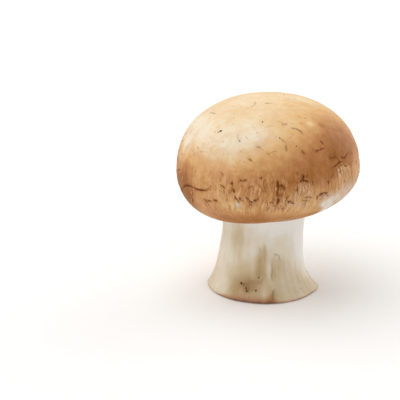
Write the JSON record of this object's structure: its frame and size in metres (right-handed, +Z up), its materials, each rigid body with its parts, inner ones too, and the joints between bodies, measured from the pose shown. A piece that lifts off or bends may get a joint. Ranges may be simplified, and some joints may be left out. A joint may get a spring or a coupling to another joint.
{
  "type": "cremini mushroom",
  "caption": "Whole fresh cremini mushroom with a domed brown cap, closed underneath by its veil, standing on the flat cut of a thick pale stem.",
  "frame": {"origin": "middle of the flat cut at the foot of the stem", "axes": "+Z up the stem to the crown of the cap; -Y towards the viewer of the cap's worn side; +X to that viewer's right, the way the cap leans"},
  "size_m": [0.0473, 0.0488, 0.0507],
  "materials": {
    "cap_skin": "satin",
    "stem_flesh": "matte"
  },
  "bodies": {
    "root": {"cap": "cap_skin", "stem_with_veil": "stem_flesh"}
  },
  "joints": []
}
